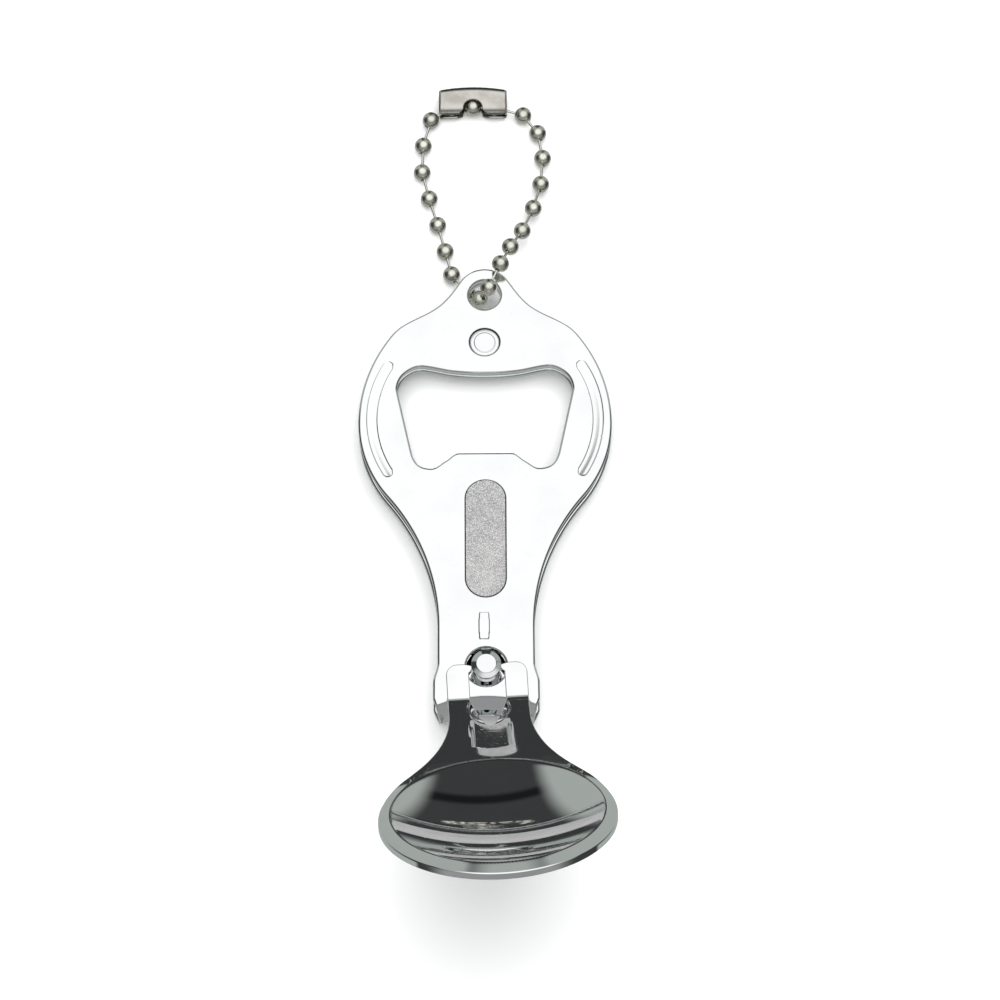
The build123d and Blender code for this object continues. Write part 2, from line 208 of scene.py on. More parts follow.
def pressed_sheet(name, rims, inner, thick, form, edge=EDGE, pockets=()):
    """A sheet cut to its rims, with rolled edges, then bent by form(x, y, t) into its shape.
    Pockets are (loop, depth) sinkings in its upper face."""
    flat, faces = [], []

    def ring(loop, miters, inset, t, turn):
        unit, miter = miters
        start = len(flat)
        for (x, y), u, m in zip(loop, unit, miter):
            flat.append((x - u[0] * m * inset, y - u[1] * m * inset, t,
                         u[0] * cos(turn), u[1] * cos(turn), sin(turn)))
        return list(range(start, start + len(loop)))

    def wall(upper, lower):
        n = len(upper)
        for i in range(n):
            j = (i + 1) % n
            faces.append((upper[i], lower[i], lower[j], upper[j]))

    def face(borders, inner, t, up):
        loops = [[flat[i][:2] for i in ring_] for ring_ in borders]
        more, triangles = filled(loops, inner)
        ids = [i for ring_ in borders for i in ring_]
        start = len(flat)
        flat.extend((x, y, t, 0, 0, 1 if up else -1) for x, y in more)
        ids += list(range(start, start + len(more)))
        for a, b, c in triangles:
            pa, pb, pc = flat[ids[a]], flat[ids[b]], flat[ids[c]]
            turn = (pb[0] - pa[0]) * (pc[1] - pa[1]) - (pc[0] - pa[0]) * (pb[1] - pa[1])
            faces.append((ids[a], ids[b], ids[c]) if (turn > 0) == up else (ids[a], ids[c], ids[b]))

    def rolled(loop, miters, r, lower=False):
        steps = []
        for degree in reversed(ROUND) if lower else ROUND:
            a = radians(degree)
            sunk = r * (1 - sin(a))
            t, turn = (sunk, -a) if lower else (thick - sunk, a)
            steps.append(ring(loop, miters, r * (1 - cos(a)), t, turn))
        return steps

    tops, bottoms = [], []
    rims = [turned_way(loop, 1 if i == 0 else -1) for i, loop in enumerate(rims)]
    for loop in rims:
        miters = outward(loop)
        steps = rolled(loop, miters, edge) + rolled(loop, miters, edge, lower=True)
        for upper, lower in zip(steps, steps[1:]):
            wall(upper, lower)
        tops.append(steps[0])
        bottoms.append(steps[-1])
    for loop, depth in pockets:
        loop = turned_way(loop, -1)
        miters = outward(loop)
        steps = rolled(loop, miters, POCKET_EDGE)
        steps.append(ring(loop, miters, 0, thick - depth, 0))
        for upper, lower in zip(steps, steps[1:]):
            wall(upper, lower)
        tops.append(steps[0])
        face([steps[-1]], [], thick - depth, True)
    face(tops, inner, thick, True)
    face(bottoms, inner, 0, False)
    return formed(name, flat, faces, form)


def formed(name, flat, faces, form):
    """Puts a flat mesh through form, turning its normals with the metal."""
    f = np.array(flat)

    def at(q):
        return np.array([form(*p) for p in q])

    place = at(f[:, :3])
    h = 1e-3
    cols = []
    for axis in range(3):
        d = np.zeros(3)
        d[axis] = h
        cols.append((at(f[:, :3] + d) - at(f[:, :3] - d)) / (2 * h))
    a, b, c = cols
    n = (f[:, 3:4] * np.cross(b, c) + f[:, 4:5] * np.cross(c, a) + f[:, 5:6] * np.cross(a, b))
    turn = np.sign(np.median(np.einsum("ij,ij->i", np.cross(a, b), c)))
    n *= turn
    n /= np.maximum(np.linalg.norm(n, axis=1), 1e-12)[:, None]
    if turn < 0:
        faces = [tuple(reversed(face)) for face in faces]
    mesh = bpy.data.meshes.new(name)
    mesh.from_pydata([tuple(p * mm) for p in place], [], faces)
    mesh.polygons.foreach_set("use_smooth", [True] * len(faces))
    mesh.normals_split_custom_set_from_vertices([tuple(v) for v in n])
    piece = bpy.data.objects.new(name, mesh)
    bpy.context.scene.collection.objects.link(piece)
    return piece


JAW_MIDDLE = JAW_SIDE_Y - sqrt(JAW_R**2 - JAW_HALF**2)
BEVEL_LONG = (SHEET - CURL_R * (1 - cos(CURL)) + LIP - 0.07) / sin(CURL)
LIP_LONG = CURL_R * CURL + BEVEL_LONG
LIP_END_R = JAW_R - CURL_R * sin(CURL) - BEVEL_LONG * cos(CURL)


def lip_outside(s):
    """Radius and height of the outer face at s along the curl and its ground bevel."""
    if s < CURL_R * CURL:
        a = s / CURL_R
        return JAW_R - CURL_R * sin(a), SHEET - CURL_R * (1 - cos(a))
    more = s - CURL_R * CURL
    return (JAW_R - CURL_R * sin(CURL) - more * cos(CURL),
            SHEET - CURL_R * (1 - cos(CURL)) - more * sin(CURL))


def corner_turn(s):
    """How far round the jaw its chamfered corner lies, at s along the lip."""
    r = lip_outside(s)[0]
    (x0, y0), (x1, y1) = CHAMFER_TOP, CHAMFER_END
    low, high = 0.0, 1.2
    for _ in range(40):
        k = (low + high) / 2
        x, y = x0 + (x1 - x0) * k, y0 + (y1 - y0) * k
        low, high = (k, high) if hypot(x, y - JAW_MIDDLE) > r else (low, k)
    return atan2(x, y - JAW_MIDDLE)


def plate_outline():
    """The blank: cutting edge, chamfered corner, jaw, neck, bulb, shoulder and tab."""
    end_r = JAW_R - LIP_LONG
    last = corner_turn(LIP_LONG)
    edge = [(end_r * sin(last * i / 24), JAW_MIDDLE + end_r * cos(last * i / 24)) for i in range(25)]
    corner = []
    for i in range(14, -1, -1):
        s = LIP_LONG * i / 14
        turn = corner_turn(s)
        corner.append(((JAW_R - s) * sin(turn), JAW_MIDDLE + (JAW_R - s) * cos(turn)))
    waist = BULB_R + WAIST_R
    meet = degrees(acos((WAIST + WAIST_R) / waist))
    neck_y = BULB_Y - waist * sin(radians(meet))
    side = joined(
        line(CHAMFER_TOP, (JAW_HALF, FLARE_END)),
        fair([(JAW_HALF, FLARE_END), (WAIST, FLARE_TOP)], (0, 1), (0, 1), 0.25),
        line((WAIST, FLARE_TOP), (WAIST, neck_y)),
        arc(WAIST + WAIST_R, neck_y, WAIST_R, 180, -meet),
        arc(0, BULB_Y, BULB_R, -meet, meet),
        arc(BULB_R - SHOULDER_R, BULB_Y, SHOULDER_R, 0, SHOULDER_SWEEP),
    )
    turn = radians(SHOULDER_SWEEP)
    tab = arc(0, TAB_Y, TAB_R, TAB_MEET, 90 - TAB_MEET, 0.3)
    blend = fair([side[-1], TAB_BLEND, tab[0]], (-sin(turn), cos(turn)),
                 (-sin(radians(TAB_MEET)), cos(radians(TAB_MEET))), 0.3)
    return both_sides(joined(edge, corner, side, blend, tab))


def opener_outline():
    """The cut-out: hooked upper corners, two lobes and the flat tongue below."""
    top = fair([(0, OPENER_TOP), (4.4, 44.15), (8.6, 44.95)], (1, 0), (1, 0.1))
    hook = fair([(8.6, 44.95), (11.2, 43.8), (12.1, 41.4)], (1, 0.1), (-0.05, -1), 0.25)
    wall = line((12.1, 41.4), (10.25, 32.7))
    lobe = fair([(10.25, 32.7), (9.3, 30.2), (7.45, 29.5)], (-0.2, -1), (-1, 0), 0.25)
    step = fair([(7.45, 29.5), (5.5, 30.6), (3.6, OPENER_TONGUE)], (-1, 0), (-1, 0), 0.25)
    return both_sides(joined(top, hook, wall, lobe, step, line((3.6, OPENER_TONGUE), (0, OPENER_TONGUE))))


def pill(y, length, width, step=0.4):
    r = width / 2
    far = length / 2 - r
    return joined(line((r, y - far), (r, y + far)), arc(0, y + far, r, 0, 180, step),
                  line((-r, y + far), (-r, y - far)), arc(0, y - far, r, 180, 180, step))


def smooth(k):
    k = min(1.0, max(0.0, k))
    return k * k * (3 - 2 * k)


def groove_depth(x, y):
    """Depth of the two crescent grooves: a crisp wall on the inside, an easy one outside."""
    r, turn = hypot(x, y - GROOVE_Y), atan2(y - GROOVE_Y, abs(x))
    over = max(0.0, abs(turn) - GROOVE_HALF) * GROOVE_R
    off = hypot(r - GROOVE_R, over) / GROOVE_HALF_WIDE
    if off >= 1:
        return 0.0
    outer = smooth((r - GROOVE_R) / GROOVE_HALF_WIDE + 0.5)
    return GROOVE_DEEP * (0.85 - 0.5 * outer) * smooth((1 - off) / (0.16 + 0.1 * outer))


def rib_rise(x, y):
    """The raised rib by the post, a little wider in its middle."""
    barrel = RIB_WIDE / 2 + 0.12 - 0.12 * ((y - RIB_Y) / (RIB_LONG / 2)) ** 2
    off = min(barrel - abs(x - RIB_X), RIB_LONG / 2 - abs(y - RIB_Y))
    return RIB_HIGH * smooth(off / 0.14) if off > 0 else 0.0


def blank_points(ribbed):
    """Points inside the blank: rows round the curl, the fold, the grooves and the rib."""
    points = []
    for i in range(1, 15):
        s = LIP_LONG * i / 15
        r = JAW_R - s
        points += [(r * sin(a), JAW_MIDDLE + r * cos(a)) for a in np.linspace(-0.42, 0.42, 33)]
    for s in (0.0, -0.35, -0.9):
        r = JAW_R - s
        points += [(r * sin(a), JAW_MIDDLE + r * cos(a)) for a in np.linspace(-0.42, 0.42, 33)]
    for y in BEND_Y + BEND_EASE * np.linspace(-1, 1, 7):
        points += [(x, y) for x in np.arange(-12, 12.1, 0.6)]
    for side in (0, pi):
        for off in (-0.86, -0.8, -0.76, -0.72, -0.68, -0.64, -0.5, -0.2, 0.1, 0.4, 0.55,
                    0.62, 0.68, 0.74, 0.8, 0.86):
            r = GROOVE_R + off
            points += [(cos(side) * r * cos(a), GROOVE_Y + r * sin(a))
                       for a in np.linspace(-GROOVE_HALF, GROOVE_HALF, 61)]
        for end in (-1, 1):
            x, y = cos(side) * GROOVE_R * cos(GROOVE_HALF), GROOVE_Y + end * GROOVE_R * sin(GROOVE_HALF)
            for r in (0.2, 0.5, 0.62, 0.68, 0.74, 0.8, 0.86):
                points += [(x + r * cos(a), y + r * sin(a)) for a in np.linspace(0, 2 * pi, 33)[:-1]
                           if end * sin(a) > 0.3]
    if ribbed:
        for x in RIB_X + np.linspace(-0.85, 0.85, 29):
            points += [(x, y) for y in RIB_Y + np.linspace(-2.1, 2.1, 49)]
    points += [(x, y) for x in np.arange(-16, 16.1, 1.6) for y in np.arange(-1, 60, 1.6)]
    return points


def jaw_form(lean, over, ribbed):
    """How a blank becomes a jaw: its lip curled in, its grooves pressed, its front leant out."""

    def form(x, y, t):
        share = t / SHEET
        z = t - groove_depth(x, y) * share
        if ribbed:
            z += rib_rise(x, y) * share
        r = hypot(x, y - JAW_MIDDLE)
        if r < JAW_R and y < 0:
            s = min(JAW_R - r, LIP_LONG + 0.1)
            r1, z1 = lip_outside(s)
            k = s / LIP_LONG
            r0, z0 = JAW_R + (LIP_END_R + 0.03 - JAW_R) * k, -LIP * k
            r2, z = r0 + (r1 - r0) * share, z0 + (z1 - z0) * share
            x, y = x * r2 / r, JAW_MIDDLE + (y - JAW_MIDDLE) * r2 / r
        past = BEND_Y + BEND_EASE - y
        if past > 0:
            turn = lean * min(1.0, past / (2 * BEND_EASE))
            r, more = 2 * BEND_EASE / lean, max(0.0, past - 2 * BEND_EASE)
            y = BEND_Y + BEND_EASE - (r - z) * sin(turn) - more * cos(lean)
            z = r - (r - z) * cos(turn) + more * sin(lean)
        return x, y, MATE_Z + over * (MATE_GAP + z)

    return form


class Sum:
    """A shader value that can be added, multiplied and so on with others."""

    def __init__(self, nodes, socket):
        self.nodes, self.socket = nodes, socket

    def math(self, operation, a, b=0.0):
        return self.nodes.add("ShaderNodeMath", {"operation": operation}, {0: a, 1: b})

    def __add__(self, other):
        return self.math("ADD", self, other)

    def __mul__(self, other):
        return self.math("MULTIPLY", self, other)

    def __sub__(self, other):
        return self.math("SUBTRACT", self, other)

    def __rsub__(self, other):
        return self.math("SUBTRACT", other, self)

    __radd__, __rmul__ = __add__, __mul__

    def above(self, low, high):
        """0 below low, 1 above high, smooth between."""
        return self.nodes.add("ShaderNodeMapRange", {"interpolation_type": "SMOOTHSTEP"},
                              {"Value": self, "From Min": low, "From Max": high})


class Nodes:
    """A node tree that is written as sums."""

    def __init__(self, tree):
        self.tree = tree
        tree.nodes.clear()

    def add(self, kind, settings=None, sockets=None, out=0):
        node = self.tree.nodes.new(kind)
        for key, value in (settings or {}).items():
            if key == "stops":
                ramp = node.color_ramp
                while len(ramp.elements) < len(value):
                    ramp.elements.new(0.5)
                for stop, (place, colour) in zip(ramp.elements, value):
                    stop.position = place
                    stop.color = (*colour, 1)
            else:
                setattr(node, key, value)
        for key, value in (sockets or {}).items():
            if isinstance(value, Sum):
                self.tree.links.new(value.socket, node.inputs[key])
            else:
                node.inputs[key].default_value = value
        return Sum(self, node.outputs[out]) if len(node.outputs) else node

    def stretched(self, scale, turn=(0, 0, 0)):
        """Object coordinates, scaled along each axis."""
        where = self.add("ShaderNodeTexCoord", out="Object")
        return self.add("ShaderNodeMapping", {}, {"Vector": where, "Scale": scale, "Rotation": turn})

    def noise(self, scale, size, detail=2.0, turn=(0, 0, 0)):
        where = self.stretched(scale, turn)
        return self.add("ShaderNodeTexNoise", {}, {"Vector": where, "Scale": size, "Detail": detail})

    def mix(self, a, b, share):
        return self.add("ShaderNodeMix", {"data_type": "RGBA"}, {0: share, 6: a, 7: b}, out=2)


def plated(name, bright, dull, rough, scratch=1.0, rub=(1, 0.06, 1)):
    """Bright plating: hairline scratches, finger haze, and a breath of colour change."""
    material = bpy.data.materials.new(name)
    material.use_nodes = True
    n = Nodes(material.node_tree)
    haze = n.noise((1, 1, 1), 160, 4.0).above(0.42, 0.72)
    hair = n.noise(rub, 5200, 3.0)
    hair2 = n.noise((0.05, 1, 1), 3800, 2.0, (0, 0, 0.35))
    nick = n.noise((1, 1, 1), 1500, 1.0).above(0.71, 0.76)
    lines = hair.above(0.6, 0.74) * 0.6 + hair2.above(0.66, 0.78) * 0.5
    colour = n.mix((*bright, 1), (*dull, 1), haze * 0.6 + nick * 0.4)
    roughness = haze * (rough * 0.9) + lines * (rough * 0.8) + nick * 0.05 + rough
    bump = n.add("ShaderNodeBump", {}, {
        "Strength": 0.05 * scratch, "Distance": 0.00002, "Height": lines - nick})
    shader = n.add("ShaderNodeBsdfPrincipled", {}, {
        "Base Color": colour, "Metallic": 1.0, "Roughness": roughness, "Normal": bump})
    n.add("ShaderNodeOutputMaterial", {}, {"Surface": shader})
    return material


chrome = plated("plate_chrome", (0.86, 0.87, 0.875), (0.80, 0.81, 0.82), 0.035)


def fitted(piece, material, body, slot, *nodes):
    """Gives a finished piece its material and its place in the clipper."""
    piece.data.materials.append(material)
    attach(piece, body)
    if nodes:
        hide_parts(*nodes)


def bore(y, r):
    return joined(arc(0, y, r, 0, 360, 0.25))


rivet_sink = bore(RIVET_Y, RIVET_SINK_R)
file_seat = pill(FILE_Y, FILE_LONG + 2 * FILE_GAP, FILE_WIDE + 2 * FILE_GAP)
upper = pressed_sheet(
    "upper_jaw_plate",
    [plate_outline(), opener_outline(), bore(TAB_Y, CHAIN_HOLE_R), bore(POST_HOLE_Y, POST_HOLE_R)],
    blank_points(True), SHEET, jaw_form(OPEN_UP, 1, True),
    pockets=[(rivet_sink, RIVET_SEAT), (file_seat, RECESS)],
)
fitted(upper, chrome, "upper_jaw", "plate_chrome", "upper_jaw")
lower = pressed_sheet(
    "lower_jaw_plate",
    [plate_outline(), opener_outline(), bore(TAB_Y, CHAIN_HOLE_R), bore(0, POST_FIT_R)],
    blank_points(False), SHEET, jaw_form(OPEN_DOWN, -1, False),
    pockets=[(rivet_sink, RIVET_SEAT)],
)
fitted(lower, chrome, "root", "plate_chrome", "lower_jaw")

# ---------------------------------------------------------------------------------------------
# Rear rivet: a soft steel rivet through both tails, its heads pressed flush into the sinkings
# and faced off, so that only a fine ring shows round each.


def eased(profile, radius, steps=4):
    """A turned profile with its sharp corners eased."""
    out = [profile[0]]
    for before, here, after in zip(profile, profile[1:], profile[2:]):
        p, a, b = np.array(here), np.array(before), np.array(after)
        da, db = np.linalg.norm(a - p), np.linalg.norm(b - p)
        cut = min(radius, da * 0.45, db * 0.45)
        a, b = p + (a - p) / da * cut, p + (b - p) / db * cut
        for k in range(steps + 1):
            s = k / steps
            out.append(tuple((1 - s) ** 2 * a + 2 * s * (1 - s) * p + s**2 * b))
    out.append(profile[-1])
    return out


def turned(name, profile, around=96, y=0.0):
    """A turned piece on a vertical axis, from (radius, height) corners that begin and end on it."""
    verts, normals, faces, rows = [], [], [], []
    p = np.array(profile, float)
    seg = p[1:] - p[:-1]
    side = np.column_stack([-seg[:, 1], seg[:, 0]])
    n = np.zeros_like(p)
    n[:-1] += side
    n[1:] += side
    n[0] = (0, side[0][1])
    n[-1] = (0, side[-1][1])
    n /= np.linalg.norm(n, axis=1)[:, None]
    for (r, z), (nr, nz) in zip(p, n):
        if r < 1e-6:
            rows.append([len(verts)])
            verts.append((0, y, z))
            normals.append((0, 0, nz))
            continue
        start = len(verts)
        for k in range(around):
            a = 2 * pi * k / around
            verts.append((r * cos(a), y + r * sin(a), z))
            normals.append((nr * cos(a), nr * sin(a), nz))
        rows.append(list(range(start, start + around)))
    for a, b in zip(rows, rows[1:]):
        for k in range(around):
            j = (k + 1) % around
            corners = [a[k % len(a)], b[k % len(b)], b[j % len(b)], a[j % len(a)]]
            face = tuple(dict.fromkeys(corners))
            if len(face) > 2:
                faces.append(face)
    mesh = bpy.data.meshes.new(name)
    mesh.from_pydata([(x * mm, v * mm, z * mm) for x, v, z in verts], [], faces)
    mesh.polygons.foreach_set("use_smooth", [True] * len(faces))
    mesh.normals_split_custom_set_from_vertices(normals)
    piece = bpy.data.objects.new(name, mesh)
    bpy.context.scene.collection.objects.link(piece)
    return piece


SHANK_R, RIVET_R, RIVET_FLAT_R = 1.2, 2.05, 1.4
(low_corner, high_corner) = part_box("rear_rivet")
rivet_low, rivet_high = low_corner[2] / mm, high_corner[2] / mm
rivet_profile = [
    (0, rivet_high), (RIVET_FLAT_R, rivet_high), (RIVET_FLAT_R + 0.1, rivet_high - 0.08),
    (RIVET_FLAT_R + 0.22, rivet_high - 0.05),
    (RIVET_R - 0.12, rivet_high - 0.09), (RIVET_R, rivet_high - 0.2),
    (RIVET_R, rivet_high - 0.3), (SHANK_R, rivet_high - 0.3), (SHANK_R, rivet_low + 0.34),
    (RIVET_R, rivet_low + 0.34), (RIVET_R, rivet_low + 0.12), (RIVET_R - 0.2, rivet_low), (0, rivet_low),
]
rivet_steel = plated("rivet_steel", (0.84, 0.85, 0.86), (0.76, 0.77, 0.78), 0.05)
rivet = turned("rear_rivet_turned", eased(rivet_profile, 0.06)[::-1], y=RIVET_Y)
fitted(rivet, rivet_steel, "root", "rivet_steel", "rear_rivet")

# ---------------------------------------------------------------------------------------------
# Nail file: a thin pill-shaped strip with fine emery grit set in a grey nickel bond, glued into the
# shallow seat in the upper plate a hair proud of it.

FILE_THICK = 0.25
random_grit = np.random.default_rng(7)
file_low, file_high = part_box("file_pad")


def file_form(x, y, t):
    z = SHEET - RECESS + 0.01 + t
    d = y - BEND_Y
    return (x, BEND_Y + d * cos(OPEN_UP) + z * sin(OPEN_UP),
            MATE_Z + MATE_GAP + z * cos(OPEN_UP) - d * sin(OPEN_UP))


grains = [(x, y) for x in np.arange(-2.8, 2.81, 0.2) for y in np.arange(FILE_Y - 8.5, FILE_Y + 8.51, 0.2)]
grains = [(x + random_grit.uniform(-0.06, 0.06), y + random_grit.uniform(-0.06, 0.06)) for x, y in grains]
pill_rim = pill(FILE_Y, FILE_LONG, FILE_WIDE)
pad = pressed_sheet("nail_file_pad", [pill_rim], grains, FILE_THICK, file_form, edge=0.05)


def emery(name):
    """Grey abrasive: light and dark grains in a dull metal bond, rough to the touch."""
    material = bpy.data.materials.new(name)
    material.use_nodes = True
    n = Nodes(material.node_tree)
    where = n.stretched((1, 1, 1))
    grain = n.add("ShaderNodeTexVoronoi", {}, {"Vector": where, "Scale": 5200}, out="Distance")
    tone = n.add("ShaderNodeTexVoronoi", {}, {"Vector": where, "Scale": 5200}, out="Color")
    tone = n.add("ShaderNodeSeparateColor", {}, {"Color": tone})
    cloud = n.noise((1, 1, 1), 700, 5.0)
    resin = grain.above(0.35, 0.75)
    worn = n.noise((1, 1, 1), 240, 3.0).above(0.45, 0.7)
    level = tone * 0.24 + cloud * 0.24 - resin * 0.16 + worn * 0.08 + 0.26
    colour = n.add("ShaderNodeValToRGB", {"stops": [
        (0.0, (0.10, 0.10, 0.10)), (0.35, (0.42, 0.42, 0.42)),
        (0.6, (0.62, 0.61, 0.61)), (1.0, (0.84, 0.84, 0.83))]}, {"Fac": level})
    bump = n.add("ShaderNodeBump", {}, {"Strength": 0.7, "Distance": 0.00006, "Height": tone * 0.6 - resin})
    shader = n.add("ShaderNodeBsdfPrincipled", {}, {
        "Base Color": colour, "Metallic": 0.45, "Roughness": 0.6 - tone * 0.12, "Normal": bump})
    n.add("ShaderNodeOutputMaterial", {}, {"Surface": shader})
    return material


fitted(pad, emery("emery"), "upper_jaw", "emery", "file_pad")

# ---------------------------------------------------------------------------------------------
# Post: turned steel, its foot under the lower plate, a neck that the fork's nibs hang on, and a
# bevelled head with a flat polished top.

FOOT_R, FOOT_HIGH = 3.2, 0.7
POST_R, NECK_R, HEAD_R, HEAD_FLAT_R = 1.8, 1.45, 2.02, 1.3
NECK_Z, HEAD_Z, POST_TOP = 6.3, 8.3, 8.85
post_profile = [
    (0, 0), (FOOT_R - 0.3, 0), (FOOT_R, 0.25), (FOOT_R, FOOT_HIGH), (POST_R, FOOT_HIGH), (POST_R, NECK_Z),
    (NECK_R, NECK_Z + 0.2), (NECK_R, HEAD_Z), (HEAD_R, HEAD_Z), (HEAD_R, POST_TOP - 0.4),
    (HEAD_FLAT_R + 0.12, POST_TOP - 0.08), (HEAD_FLAT_R, POST_TOP), (0, POST_TOP),
]
post_steel = plated("post_steel", (0.82, 0.83, 0.84), (0.72, 0.73, 0.74), 0.05)
post = turned("post_turned", eased(post_profile, 0.07))
fitted(post, post_steel, "post", "post_steel", "post")

# ---------------------------------------------------------------------------------------------
# Lever: one pressing of 0.95 mm steel, forked round the post, bent up, dimpled beside its slot
# to bear on the plate, and dished into a round thumb paddle with a turned-down rim. Chromed.

LEVER, PRONG_Z, TIP, LEVER_BEND = 0.95, 7.0, 0.35, 5.3
RISE, LEVER_YAW = radians(44.2), radians(3)
LEVER_HALF, SLOT_HALF, NIB, SLOT_REACH = 5.45, 2.4, 1.72, 7.6
CHANNEL_HALF, CHANNEL_START, CHANNEL_END, CHANNEL_DEEP = 2.8, 6.0, 14.5, 0.38
FLANK_R, PADDLE, PADDLE_R = 27.0, 31.8, 15.27
DISH_R, DISH_DEEP, RIM_DROP = 13.8, 2.6, 0.74
RIM_FREE_FROM, RIM_FREE_OVER = 40, 38
BEND_R = 2.6
TIP_ROUND = 1.5
BOWL_S, BOWL_LONG, BOWL_HALF, BOWL_DEEP = 2.6, 5.3, 3.2, 0.55
ball_r = (DISH_R**2 + DISH_DEEP**2) / (2 * DISH_DEEP)
arc_in = BEND_R * tan(RISE / 2)
arc_out = arc_in - (2 * arc_in - BEND_R * RISE)


def lever_outline():
    """Fork tips, slot, flanks and paddle on the flat blank; y runs from the bend to the paddle."""
    meet = acos((LEVER_HALF + FLANK_R) / (PADDLE_R + FLANK_R))
    flank_y = PADDLE - (PADDLE_R + FLANK_R) * sin(meet)
    rim = arc(0, PADDLE, PADDLE_R, 90, -90 - degrees(meet))
    flank = arc(LEVER_HALF + FLANK_R, flank_y, FLANK_R, 180 - degrees(meet), degrees(meet))
    tip_y = -LEVER_BEND - TIP
    side = line((LEVER_HALF, flank_y), (LEVER_HALF, tip_y + TIP_ROUND), 0.35)
    tip = arc(LEVER_HALF - TIP_ROUND, tip_y + TIP_ROUND, TIP_ROUND, 0, -90, 0.2)
    nib = joined(
        line((LEVER_HALF - TIP_ROUND, tip_y), (NIB + 1.5, tip_y), 0.3),
        fair([(NIB + 1.5, tip_y), (NIB + 0.65, tip_y + 0.14), (NIB, tip_y + TIP + 0.04)],
             (-1, 0), (-1, 0.5), 0.15),
        line((NIB, tip_y + TIP + 0.04), (NIB, tip_y + 2 * TIP), 0.1),
        line((NIB, tip_y + 2 * TIP), (SLOT_HALF, tip_y + 2 * TIP + 0.6), 0.2),
    )
    slot = fair([(SLOT_HALF, 0), (1.8, SLOT_REACH - 5.1), (1.2, SLOT_REACH - 2.6), (0, SLOT_REACH)],
                (-0.1, 1), (-1, 0.4), 0.2)
    return both_sides(joined(rim, flank, side, tip, nib, line(nib[-1], (SLOT_HALF, 0), 0.3), slot))


def soft_least(a, b, k):
    low = min(a, b)
    return low - k * log(exp((low - a) / k) + exp((low - b) / k))


def lever_relief(x, s):
    """Height of the pressing over the blade's plane: dish, turned rim, channel and dimple."""
    r = hypot(x, s - PADDLE)
    turn = degrees(atan2(abs(x), PADDLE - s))
    free = smooth((turn - RIM_FREE_FROM) / RIM_FREE_OVER)
    bowl = ball_r - sqrt(ball_r**2 - min(r, 17) ** 2) - DISH_DEEP
    rim = -free * RIM_DROP / (PADDLE_R - DISH_R) * (r - DISH_R)
    z = soft_least(bowl, rim, 0.05)
    side = CHANNEL_HALF - 0.2 * max(0.0, (s - 8) / 6.5) - abs(x)
    end = CHANNEL_END - 0.9 * (x / CHANNEL_HALF) ** 2 - s
    if CHANNEL_START < s < CHANNEL_END + 1 and side > 0 and end > 0:
        sunk = (s - CHANNEL_START) / (CHANNEL_END - CHANNEL_START)
        z -= CHANNEL_DEEP * sunk * (1.5 - 0.5 * sunk) * smooth(side / 0.5) * smooth(end / 0.4)
    off = hypot(x / BOWL_HALF, (s - BOWL_S) / BOWL_LONG)
    if off < 1:
        z -= BOWL_DEEP * smooth((1 - off) / 0.8)
    return z


def lever_form(x, y, t):
    """Bends the blank at the fork's root, raises the blade and turns the lever on its post."""
    if y < -arc_in:
        v, z = y, PRONG_Z + t + lever_relief(x, y)
        v = -LEVER_BEND - v
        place = (x, v, z)
    elif y < arc_out:
        a = (y + arc_in) / BEND_R
        r = BEND_R - t - lever_relief(x, max(y, y * arc_in / arc_out))
        place = (x, -LEVER_BEND + arc_in - r * sin(a), PRONG_Z + BEND_R - r * cos(a))
    else:
        s = arc_in + (y - arc_out)
        z = t + lever_relief(x, s)
        place = (x, -LEVER_BEND - s * cos(RISE) + z * sin(RISE), PRONG_Z + s * sin(RISE) + z * cos(RISE))
    return (place[0] * cos(LEVER_YAW) - place[1] * sin(LEVER_YAW),
            place[0] * sin(LEVER_YAW) + place[1] * cos(LEVER_YAW), place[2])


lever_points = [(0, PADDLE)]
dish_rings = list(np.arange(0.9, 12.8, 0.85))
dish_rings += [13.1, 13.35, 13.55, 13.7, 13.8, 13.9, 14.05, 14.25, 14.5, 14.8, 15.1]
for r in dish_rings:
    count = max(8, int(2 * pi * r / (0.85 if r < 13 else 0.45)))
    turns = [2 * pi * k / count for k in range(count)]
    lever_points += [(r * cos(a), PADDLE + r * sin(a)) for a in turns]
for y in np.arange(-arc_in - 0.12, arc_out + 0.13, 0.12):
    lever_points += [(x, y) for x in np.arange(-5.4, 5.41, 0.45)]
for y in np.arange(0.75, 15.3, 0.3):
    lever_points += [(x, y) for x in np.arange(-3.6, 3.61, 0.3)]
for y in np.arange(-5.4, -0.8, 0.5):
    lever_points += [(x, y) for x in np.arange(-5.2, 5.21, 0.5)]
for y in np.arange(0.9, 24, 0.8):
    lever_points += [(x, y) for x in np.arange(-13.6, 13.61, 0.8)
                     if not (abs(x) < 3.8 and y < 15.6) and hypot(x, y - PADDLE) > 15.3]

lever_chrome = plated("lever_chrome", (0.86, 0.87, 0.87), (0.79, 0.80, 0.80), 0.02, 0.6)
lever = pressed_sheet("thumb_lever", [lever_outline()], lever_points, LEVER, lever_form, edge=0.14)
fitted(lever, lever_chrome, "lever", "lever_chrome", "lever")

# ---------------------------------------------------------------------------------------------
# Ball chain: hollow beads rolled from thin nickel-plated brass tube, a hole at each end, held
# together by dumb-bell pins of drawn wire whose heads turn inside the beads.

BEAD_R, BEAD_WALL, PIN_HOLE_R = 1.2, 0.15, 0.3
PIN_R, PIN_HEAD_R, PIN_LONG = 0.18, 0.27, 2.8
bead_count = sum(1 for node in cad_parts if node.startswith("chain_bead_"))


def centre_of(node):
    low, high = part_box(node)
    return Vector([(a + b) / 2 for a, b in zip(low, high)])


